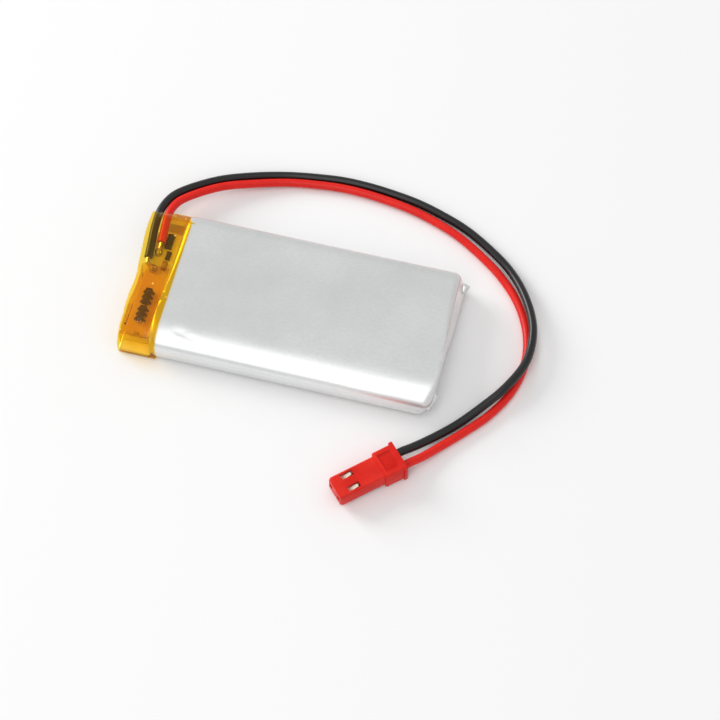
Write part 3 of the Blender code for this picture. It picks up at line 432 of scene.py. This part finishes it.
def crease(x, y, start, end, width, depth):
    # a shallow pressed line between two places, fading at its ends
    run = (end[0] - start[0], end[1] - start[1])
    size = math.hypot(*run)
    along = ((x - start[0]) * run[0] + (y - start[1]) * run[1]) / size ** 2
    off = abs((x - start[0]) * run[1] - (y - start[1]) * run[0]) / size
    fade = max(0.0, 1 - abs(2 * along - 1) ** 3)
    return -depth * math.exp(-(off / width) ** 2) * fade


def formFoil(x, y, z, farEnd, halfWidth, top):
    # forming and handling: the far end leans, its near corner is tucked in, the top has dents and creases
    shape = pouchShape
    atEnd = math.exp(-((farEnd - x) / shape["leanReach"]) ** 2)
    high = smoothStep((z - 1.5) / 3.5)
    lean = shape["farLean"] * smoothStep((y + 3) / (halfWidth + 1)) * high * atEnd
    tuck = smoothStep((4.0 - y) / halfWidth) * smoothStep((4.0 - z) / 3.0) * atEnd
    lean += shape["nearTuck"] * tuck
    if z > 2.4:
        dent = noise.noise(Vector((x, y, z)) / shape["dentSize"]) * shape["dent"]
        ripple = noise.noise(Vector((x * 0.25, y, 3)) / shape["rippleSize"])
        dent += ripple * shape["dent"] * shape["rippleShare"]
        dent *= smoothStep((abs(y) - shape["ridge"]) / 5)
        pressed = sum(crease(x, y, *each) for each in shape["creases"])
        z += min(0.0, dent) + pressed
    return x - lean, y, min(z, top)


def addEar(builder, corners):
    # a folded-over corner of foil: a curved patch between four corners, with a real thickness
    thickness, bulge = pouchShape["earThickness"], pouchShape["earSwell"]
    count = 8
    a, b, c, d = [Vector(corner) for corner in corners]
    normal = (b - a).cross(d - a).normalized()
    sides = []
    for side in (0.5, -0.5):
        grid = []
        for i in range(count + 1):
            row = []
            for j in range(count + 1):
                u, v = i / count, j / count
                spot = a.lerp(b, u).lerp(d.lerp(c, u), v)
                swell = math.sin(math.pi * u) * math.sin(math.pi * v)
                edge = min(1.0, 0.35 + 2.2 * swell)
                row.append(builder.verts.new(spot + normal * (side * thickness * edge + bulge * swell)))
            grid.append(row)
        sides.append(grid)
    for grid, flip in ((sides[0], False), (sides[1], True)):
        for i in range(count):
            for j in range(count):
                loop = [grid[i][j], grid[i + 1][j], grid[i + 1][j + 1], grid[i][j + 1]]
                builder.faces.new(loop[::-1] if flip else loop)
    rim = [(i, 0) for i in range(count)] + [(count, j) for j in range(count)]
    rim += [(i, count) for i in range(count, 0, -1)] + [(0, j) for j in range(count, 0, -1)]
    for (i, j), (k, l) in zip(rim, rim[1:] + rim[:1]):
        builder.faces.new((sides[1][i][j], sides[1][k][l], sides[0][k][l], sides[0][i][j]))


def skinRings(builder, rings):
    # a closed skin over rings of vertices, from the lowest to the highest
    for lower, upper in zip(rings, rings[1:]):
        for index in range(len(lower)):
            following = (index + 1) % len(lower)
            builder.faces.new((lower[index], lower[following], upper[following], upper[index]))
    builder.faces.new(list(reversed(rings[0])))
    builder.faces.new(rings[-1])


def makePouch():
    shape = pouchShape
    low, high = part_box("pouch")
    bottom, top = low.z / mm, high.z / mm
    halfWidth = high.y / mm
    endX = high.x / mm - shape["room"]
    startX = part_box("protection_board")[1].x / mm + shape["room"]
    middleX, halfLength = (startX + endX) / 2, (endX - startX) / 2
    builder = bmesh.new()
    rings = []
    edges = [shape["near"], shape["far"]]
    guide = [y for x, y in outline(halfLength, halfWidth, 1.0)]
    for pair in zip(*[pouchRings(halfWidth, bottom, top, edge) for edge in edges]):
        plans = []
        for (side, end, z), edge in zip(pair, edges):
            corner = max(0.3, edge["corner"] - 0.5 * min(side, end))
            corner = min(corner, halfWidth - side, halfLength - end)
            plans.append([(x, y, z) for x, y in outline(halfLength - end, halfWidth - side, corner)])
        ring = []
        for near, far, across in zip(*plans, guide):
            spot = Vector(near).lerp(Vector(far), smoothStep(0.5 + across / (1.7 * halfWidth)))
            spot = formFoil(middleX + spot.x, spot.y, spot.z, middleX + halfLength, halfWidth, top)
            ring.append(builder.verts.new(spot))
        rings.append(ring)
    skinRings(builder, rings)
    terraceFrom, terraceTo = low.x / mm, startX + shape["terraceLap"]
    terraceX, terraceHalf = (terraceTo + terraceFrom) / 2, (terraceTo - terraceFrom) / 2
    plates = []
    for inset, rise in shape["terrace"]:
        plan = outline(terraceHalf - inset, halfWidth - shape["terraceInset"] - inset,
                       shape["terraceCorner"])
        plates.append([builder.verts.new((terraceX + x, y, bottom + rise)) for x, y in plan])
    skinRings(builder, plates)
    for corners in shape["ears"]:
        addEar(builder, corners)
    bmesh.ops.scale(builder, vec=(mm, mm, mm), verts=builder.verts)
    mesh = bpy.data.meshes.new("pouchFoil")
    builder.to_mesh(mesh)
    builder.free()
    mesh.materials.append(material["satinFoilLaminate"])
    smoothFaces(mesh, 60)
    return standFor(newPiece("pouchFoil", mesh), "pouch")


makePouch()
print("pouch made")

# the CAD wrap, crinkled, and pulled in at its open edge between the leads and over the near side
# millimetres; the open edge faces the cell, and the lap is the strip that reaches past lapFrom
tapeShape = {
    "levels": 3, "crinkle": 0.07, "crinkleSize": 2.6, "edgeWave": 0.12, "waveSize": 3.0,
    "pullFrom": -23.0, "pullRun": 4.5, "waist": 0.7, "waistMiddle": -1.0, "waistSpread": 5.5,
    "nearPull": 0.6, "nearFrom": -4.0, "nearRun": 8.0, "lapFrom": -21.5, "lapShare": 0.35,
    "stuckShare": 0.3, "topFrom": 3.0, "sideFrom": 13.0, "sideShare": 0.5,
}


def crinkleTape(x, y, z):
    shape = tapeShape
    pull = smoothStep((shape["pullFrom"] - x) / shape["pullRun"])
    waist = shape["waist"] * math.exp(-((y - shape["waistMiddle"]) / shape["waistSpread"]) ** 2)
    near = shape["nearPull"] * smoothStep((shape["nearFrom"] - y) / shape["nearRun"])
    x += pull * (waist + near)
    x += shape["edgeWave"] * noise.noise(Vector((0, y, z)) / shape["waveSize"])
    if x > shape["lapFrom"]:
        x = shape["lapFrom"] + (x - shape["lapFrom"]) * shape["lapShare"]
    lift = noise.noise(Vector((x, y, z)) / shape["crinkleSize"]) * shape["crinkle"]
    loose = shape["stuckShare"] + (1 - shape["stuckShare"]) * pull
    if z > shape["topFrom"]:
        z += lift * loose
    elif abs(y) > shape["sideFrom"]:
        y += math.copysign(abs(lift) * shape["sideShare"] * loose, y)
    return Vector((x, y, z))


def makeTape(node, name):
    piece = mergedCopy(node, name)
    smooth = piece.modifiers.new("smooth", "SUBSURF")
    smooth.subdivision_type = "SIMPLE"
    smooth.levels = tapeShape["levels"]
    smooth.render_levels = tapeShape["levels"]
    applied(piece)
    for vertex in piece.data.vertices:
        vertex.co = crinkleTape(*(vertex.co / mm)) * mm
    smoothFaces(piece.data, 50)
    return standFor(piece, node)


makeTape("wrap_tape", "wrapTape")
makeTape("end_tape", "endTape")
print("tapes made")

# middle of the plug's rear face and the way it points: millimetres and degrees
plugPlace = {"rearX": 25.2, "rearY": -23.5, "height": 2.2, "heading": 223.5, "pitch": 2.5}


def plugMatrix():
    heading = math.radians(plugPlace["heading"])
    rear = Vector((plugPlace["rearX"], plugPlace["rearY"], plugPlace["height"])) * mm
    return Matrix.Translation(rear) @ Matrix.Rotation(heading, 4, "Z")


def plugPoint(forward, sideways, up):
    return plugMatrix() @ (Vector((forward, sideways, up)) * mm)


def newTree(name, sizes):
    # a Geometry Nodes tree with a named input for each size, and its material
    tree = bpy.data.node_groups.new(name, "GeometryNodeTree")
    for label, value in sizes.items():
        kind = "NodeSocketInt" if isinstance(value, int) else "NodeSocketFloat"
        tree.interface.new_socket(label, in_out="INPUT", socket_type=kind)
    tree.interface.new_socket("material", in_out="INPUT", socket_type="NodeSocketMaterial")
    tree.interface.new_socket("result", in_out="OUTPUT", socket_type="NodeSocketGeometry")
    return tree, tree.nodes.new("NodeGroupInput").outputs, tree.nodes.new("NodeGroupOutput").inputs[0]


def finishTree(tree, geometry, inputs, output):
    plain = addNode(tree, "GeometryNodeRealizeInstances", {"Geometry": geometry})
    painted = addNode(tree, "GeometryNodeSetMaterial",
                      {"Geometry": plain.outputs[0], "Material": inputs["material"]})
    tree.links.new(painted.outputs[0], output)


def bakeTree(tree, name, sizes, finishName):
    piece = newPiece(name, bpy.data.meshes.new(name))
    grow = piece.modifiers.new("grow", "NODES")
    grow.node_group = tree
    values = dict(sizes, material=material[finishName])
    for item in tree.interface.items_tree:
        if item.in_out == "INPUT":
            grow[item.identifier] = values[item.name]
    return applied(piece)


# ribs across the collar's top and bottom, and where the first one stands on the plug
gripRibs = {"count": 7, "spacing": 0.29 * mm, "length": 2.9 * mm, "radius": 0.085 * mm}
firstRib = {"forward": 1.42, "up": 1.73}


def makeGripTree():
    tree, sizes, output = newTree("gripRibs", gripRibs)
    step = addNode(tree, "ShaderNodeCombineXYZ", {"X": sizes["spacing"]})
    row = addNode(tree, "GeometryNodeMeshLine", {"Count": sizes["count"], "Offset": step.outputs[0]})
    half = addNode(tree, "ShaderNodeMath", {0: sizes["length"], 1: 0.5}, operation="MULTIPLY")
    back = addNode(tree, "ShaderNodeMath", {0: sizes["length"], 1: -0.5}, operation="MULTIPLY")
    start = addNode(tree, "ShaderNodeCombineXYZ", {"Y": back.outputs[0]})
    end = addNode(tree, "ShaderNodeCombineXYZ", {"Y": half.outputs[0]})
    spine = addNode(tree, "GeometryNodeCurvePrimitiveLine",
                    {"Start": start.outputs[0], "End": end.outputs[0]})
    section = addNode(tree, "GeometryNodeCurvePrimitiveCircle",
                      {"Resolution": 12, "Radius": sizes["radius"]})
    rib = addNode(tree, "GeometryNodeCurveToMesh",
                  {"Curve": spine.outputs[0], "Profile Curve": section.outputs[0], "Fill Caps": True})
    ribs = addNode(tree, "GeometryNodeInstanceOnPoints",
                   {"Points": row.outputs[0], "Instance": rib.outputs[0]})
    finishTree(tree, ribs.outputs[0], sizes, output)
    return tree


def addGripRibs(moulding):
    ribs = bakeTree(makeGripTree(), "gripRibs", gripRibs, "redNylon")
    builder = bmesh.new()
    builder.from_mesh(moulding.data)
    for side in (1, -1):
        copy = ribs.data.copy()
        copy.transform(Matrix.Translation(plugPoint(firstRib["forward"], 0, firstRib["up"] * side))
                       @ plugMatrix().to_3x3().to_4x4())
        builder.from_mesh(copy)
        bpy.data.meshes.remove(copy)
    builder.to_mesh(moulding.data)
    builder.free()
    bpy.data.objects.remove(ribs)


addGripRibs(eased["plug_housing"])

# the springy tongue that locks a contact behind its window: millimetres from the plug's rear
lance = {"root": 10.4, "tip": 8.75, "low": 0.72, "high": 1.32, "width": 0.64, "sheet": 0.16,
         "bulge": 0.10, "taper": 0.25}


def addLance(builder, side):
    rise = lance["high"] - lance["low"]
    rows = []
    for step in range(9):
        share = step / 8
        forward = lance["root"] + (lance["tip"] - lance["root"]) * share
        up = lance["low"] + rise * share + lance["bulge"] * math.sin(math.pi * share)
        half = lance["width"] / 2 * (1 - lance["taper"] * share ** 3)
        rows.append([builder.verts.new(plugPoint(forward, side + across * half, up + lift))
                     for across, lift in ((-1, 0), (-1, -lance["sheet"]), (1, -lance["sheet"]), (1, 0))])
    for back, ahead in zip(rows, rows[1:]):
        for a in range(4):
            b = (a + 1) % 4
            builder.faces.new((back[a], back[b], ahead[b], ahead[a]))
    builder.faces.new(rows[0][::-1])
    builder.faces.new(rows[-1])


def makeContact(node, name, side):
    contact = mergedCopy(node, name)
    builder = bmesh.new()
    addLance(builder, side)
    bmesh.ops.recalc_face_normals(builder, faces=builder.faces)
    builder.from_mesh(contact.data)
    builder.to_mesh(contact.data)
    builder.free()
    smoothFaces(contact.data, 40)
    return standFor(contact, node)


halfPitch = plugPlace["pitch"] / 2
makeContact("negative_contact", "negativeContact", -halfPitch)
makeContact("positive_contact", "positiveContact", halfPitch)

# six strands laid round a seventh: the twist is in radians for each metre
strandLay = {"count": 6, "length": 1.9 * mm, "layRadius": 0.245 * mm, "strandRadius": 0.118 * mm,
             "twist": 900.0}
strandReach = (1.3, 3.1)


def makeStrandTree():
    tree, sizes, output = newTree("twistedStrands", strandLay)
    top = addNode(tree, "ShaderNodeCombineXYZ", {"Z": sizes["length"]})
    spine = addNode(tree, "GeometryNodeCurvePrimitiveLine", {"End": top.outputs[0]})
    ring = addNode(tree, "GeometryNodeMeshCircle",
                   {"Vertices": sizes["count"], "Radius": sizes["layRadius"]})
    outer = addNode(tree, "GeometryNodeInstanceOnPoints",
                    {"Points": ring.outputs[0], "Instance": spine.outputs[0]})
    plain = addNode(tree, "GeometryNodeRealizeInstances", {"Geometry": outer.outputs[0]})
    bundle = addNode(tree, "GeometryNodeJoinGeometry")
    tree.links.new(plain.outputs[0], bundle.inputs[0])
    tree.links.new(spine.outputs[0], bundle.inputs[0])
    fine = addNode(tree, "GeometryNodeResampleCurve", {"Curve": bundle.outputs[0], "Count": 12})
    spot = addNode(tree, "GeometryNodeInputPosition")
    height = addNode(tree, "ShaderNodeSeparateXYZ", {0: spot.outputs[0]})
    angle = addNode(tree, "ShaderNodeMath", {0: height.outputs["Z"], 1: sizes["twist"]},
                    operation="MULTIPLY")
    turned = addNode(tree, "ShaderNodeVectorRotate",
                     {"Vector": spot.outputs[0], "Angle": angle.outputs[0]}, rotation_type="Z_AXIS")
    twisted = addNode(tree, "GeometryNodeSetPosition",
                      {"Geometry": fine.outputs[0], "Position": turned.outputs[0]})
    section = addNode(tree, "GeometryNodeCurvePrimitiveCircle",
                      {"Resolution": 10, "Radius": sizes["strandRadius"]})
    strands = addNode(tree, "GeometryNodeCurveToMesh",
                      {"Curve": twisted.outputs[0], "Profile Curve": section.outputs[0],
                       "Fill Caps": True})
    finishTree(tree, strands.outputs[0], sizes, output)
    return tree


strandTree = makeStrandTree()


def makeStrands(node, name, side):
    start, end = [plugPoint(forward, side, 0) for forward in strandReach]
    run = end - start
    strands = bakeTree(strandTree, name, dict(strandLay, length=run.length), "tinnedCopper")
    strands.data.transform(Matrix.Translation(start) @ run.to_track_quat("Z", "Y").to_matrix().to_4x4())
    smoothFaces(strands.data, 50)
    return standFor(strands, node)


makeStrands("black_plug_strands", "blackPlugStrands", -halfPitch)
makeStrands("red_plug_strands", "redPlugStrands", halfPitch)
print("plug made")

# each route runs from the board, out of the tape's far corner and over the floor to the plug: millimetres
# plugSteps: where the insulation then goes in the plug, from its rear
leadShape = {
    "diameter": 1.5,
    "plugSteps": (-1.2, 0.0, 1.2),
    "black": [
        (-27.35, 4.3, 3.25), (-27.6, 7.0, 3.4), (-28.0, 11.0, 3.55), (-27.95, 14.2, 3.6), (-27.1, 17.0, 3.5),
        (-25.7, 19.1, 3.2), (-20.1, 23.7, 2.3), (-14.0, 26.7, 1.5), (-8.4, 28.6, 0.95), (-3.1, 29.6, 0.8),
        (1.8, 30.1, 0.8), (6.6, 30.0, 0.8), (11.2, 29.5, 0.8), (15.8, 28.7, 0.8), (20.5, 27.3, 0.8),
        (25.3, 25.4, 0.8), (30.1, 22.5, 0.9), (34.9, 18.6, 1.3), (38.9, 13.3, 2.1), (41.6, 7.1, 2.5),
        (41.9, 0.5, 2.6), (39.6, -5.3, 2.4), (36.2, -9.9, 1.5), (33.0, -13.7, 0.9), (29.8, -17.1, 1.0),
        (26.8, -20.2, 1.65)],
    "red": [
        (-26.0, 7.9, 3.2), (-26.25, 11.0, 3.45), (-26.3, 14.2, 3.6), (-25.7, 16.25, 3.5), (-24.5, 18.0, 3.2),
        (-19.35, 22.35, 2.3), (-13.4, 25.2, 1.5), (-7.75, 27.2, 0.95), (-2.7, 28.1, 0.8), (2.0, 28.5, 0.8),
        (6.5, 28.35, 0.8), (11.0, 27.8, 0.8), (15.2, 27.0, 0.8), (19.7, 25.6, 0.8), (24.2, 23.7, 0.8),
        (28.8, 20.9, 0.8), (33.4, 17.4, 0.8), (37.6, 12.8, 0.8), (40.5, 7.2, 0.8), (41.6, 1.1, 0.8),
        (40.6, -5.0, 0.8), (37.9, -10.5, 0.8), (34.5, -14.8, 0.8), (31.2, -18.6, 0.95), (28.5, -21.9, 1.65)],
}


def smoothRoute(route, stepsEach):
    # a curve through every point that doesn't overshoot where they stand unevenly (centripetal)
    guide = [route[0] * 2 - route[1]] + list(route) + [route[-1] * 2 - route[-2]]
    points = []
    for before, start, end, after in zip(guide, guide[1:], guide[2:], guide[3:]):
        knots = [0.0]
        for a, b in ((before, start), (start, end), (end, after)):
            knots.append(knots[-1] + math.sqrt((b - a).length))
        for step in range(stepsEach):
            t = knots[1] + (knots[2] - knots[1]) * step / stepsEach
            a1 = before.lerp(start, (t - knots[0]) / (knots[1] - knots[0]))
            a2 = start.lerp(end, (t - knots[1]) / (knots[2] - knots[1]))
            a3 = end.lerp(after, (t - knots[2]) / (knots[3] - knots[2]))
            b1 = a1.lerp(a2, (t - knots[0]) / (knots[2] - knots[0]))
            b2 = a2.lerp(a3, (t - knots[1]) / (knots[3] - knots[1]))
            points.append(b1.lerp(b2, (t - knots[1]) / (knots[2] - knots[1])))
    return points + [route[-1].copy()]


def makeLead(colour, side, finishName):
    route = [Vector(point) * mm for point in leadShape[colour]]
    route += [plugPoint(forward, side, 0) for forward in leadShape["plugSteps"]]
    points = smoothRoute(route, 8)
    curve = bpy.data.curves.new(colour + "Lead", "CURVE")
    curve.dimensions = "3D"
    curve.bevel_depth = leadShape["diameter"] / 2 * mm
    curve.bevel_resolution = 6
    curve.use_fill_caps = True
    run = curve.splines.new("POLY")
    run.points.add(len(points) - 1)
    for slot, point in zip(run.points, points):
        slot.co = (*point, 1.0)
    run.use_smooth = True
    lead = newPiece(colour + "Lead", curve)
    curve.materials.append(material[finishName])
    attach(lead, "root")
    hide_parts(colour + "_lead")
    return lead


makeLead("black", -halfPitch, "blackPvc")
makeLead("red", halfPitch, "redPvc")

# pale floor and soft light: metres for the softboxes, millimetres and degrees for the view
studio = {
    "floorTone": "#f4f4f4", "floorSize": 2.0, "floorRoughness": 0.9, "floorSpecular": 0.1,
    "worldTone": "#ffffff", "worldStrength": 0.625,
    "softboxes": {
        "keySoftbox": dict(place=(-0.90, 0.32, 0.45), aim=(0, 0, 0), width=0.50, height=0.50,
                           radiance=8.2),
        "frontSoftbox": dict(place=(-0.08, -0.45, 0.80), aim=(0, -0.05, 0), width=0.50, height=1.25,
                             radiance=1.35),
    },
    "target": (13.6, -5.0, 0.0), "elevation": 60.0, "turn": 14.3, "distance": 430.0, "lens": 123.6,
}


def makeFloor():
    builder = bmesh.new()
    bmesh.ops.create_grid(builder, x_segments=2, y_segments=2, size=studio["floorSize"])
    mesh = bpy.data.meshes.new("floor")
    builder.to_mesh(mesh)
    builder.free()
    floor = bpy.data.objects.new("floor", mesh)
    floor.location.z = cadLow.z - 0.02 * mm    # just clear of the lowest point
    bpy.context.collection.objects.link(floor)
    paint = bpy.data.materials.new("paleFloor")
    paint.use_nodes = True
    shader = paint.node_tree.nodes["Principled BSDF"]
    shader.inputs["Base Color"].default_value = linearColour(studio["floorTone"])
    shader.inputs["Roughness"].default_value = studio["floorRoughness"]
    shader.inputs["Specular IOR Level"].default_value = studio["floorSpecular"]
    mesh.materials.append(paint)
    floor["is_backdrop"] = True


def addSoftbox(name, place, aim, width, height, radiance):
    lamp = bpy.data.lights.new(name, "AREA")
    lamp.shape = "RECTANGLE"
    lamp.size = width
    lamp.size_y = height
    lamp.energy = radiance * math.pi * width * height
    holder = bpy.data.objects.new(name, lamp)
    holder.location = place
    holder.rotation_euler = (Vector(aim) - Vector(place)).to_track_quat("-Z", "Y").to_euler()
    bpy.context.collection.objects.link(holder)
    holder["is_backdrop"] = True


makeFloor()
world = bpy.data.worlds.new("studio")
world.use_nodes = True
background = world.node_tree.nodes["Background"]
background.inputs["Color"].default_value = linearColour(studio["worldTone"])
background.inputs["Strength"].default_value = studio["worldStrength"]
bpy.context.scene.world = world
bpy.context.scene.view_settings.view_transform = "Standard"
for name, box in studio["softboxes"].items():
    addSoftbox(name, **box)

camera = bpy.data.cameras.new("camera")
camera.lens = studio["lens"]
camera.sensor_width = 36.0
camera.clip_start = 0.01
elevation = math.radians(studio["elevation"])
turn = math.radians(studio["turn"])
back = Vector((math.sin(turn) * math.cos(elevation), -math.cos(turn) * math.cos(elevation),
               math.sin(elevation)))
eye = bpy.data.objects.new("camera", camera)
eye.location = (Vector(studio["target"]) + back * studio["distance"]) * mm
eye.rotation_euler = back.to_track_quat("Z", "Y").to_euler()
bpy.context.collection.objects.link(eye)
bpy.context.scene.camera = eye
print("studio set")

low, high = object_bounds()
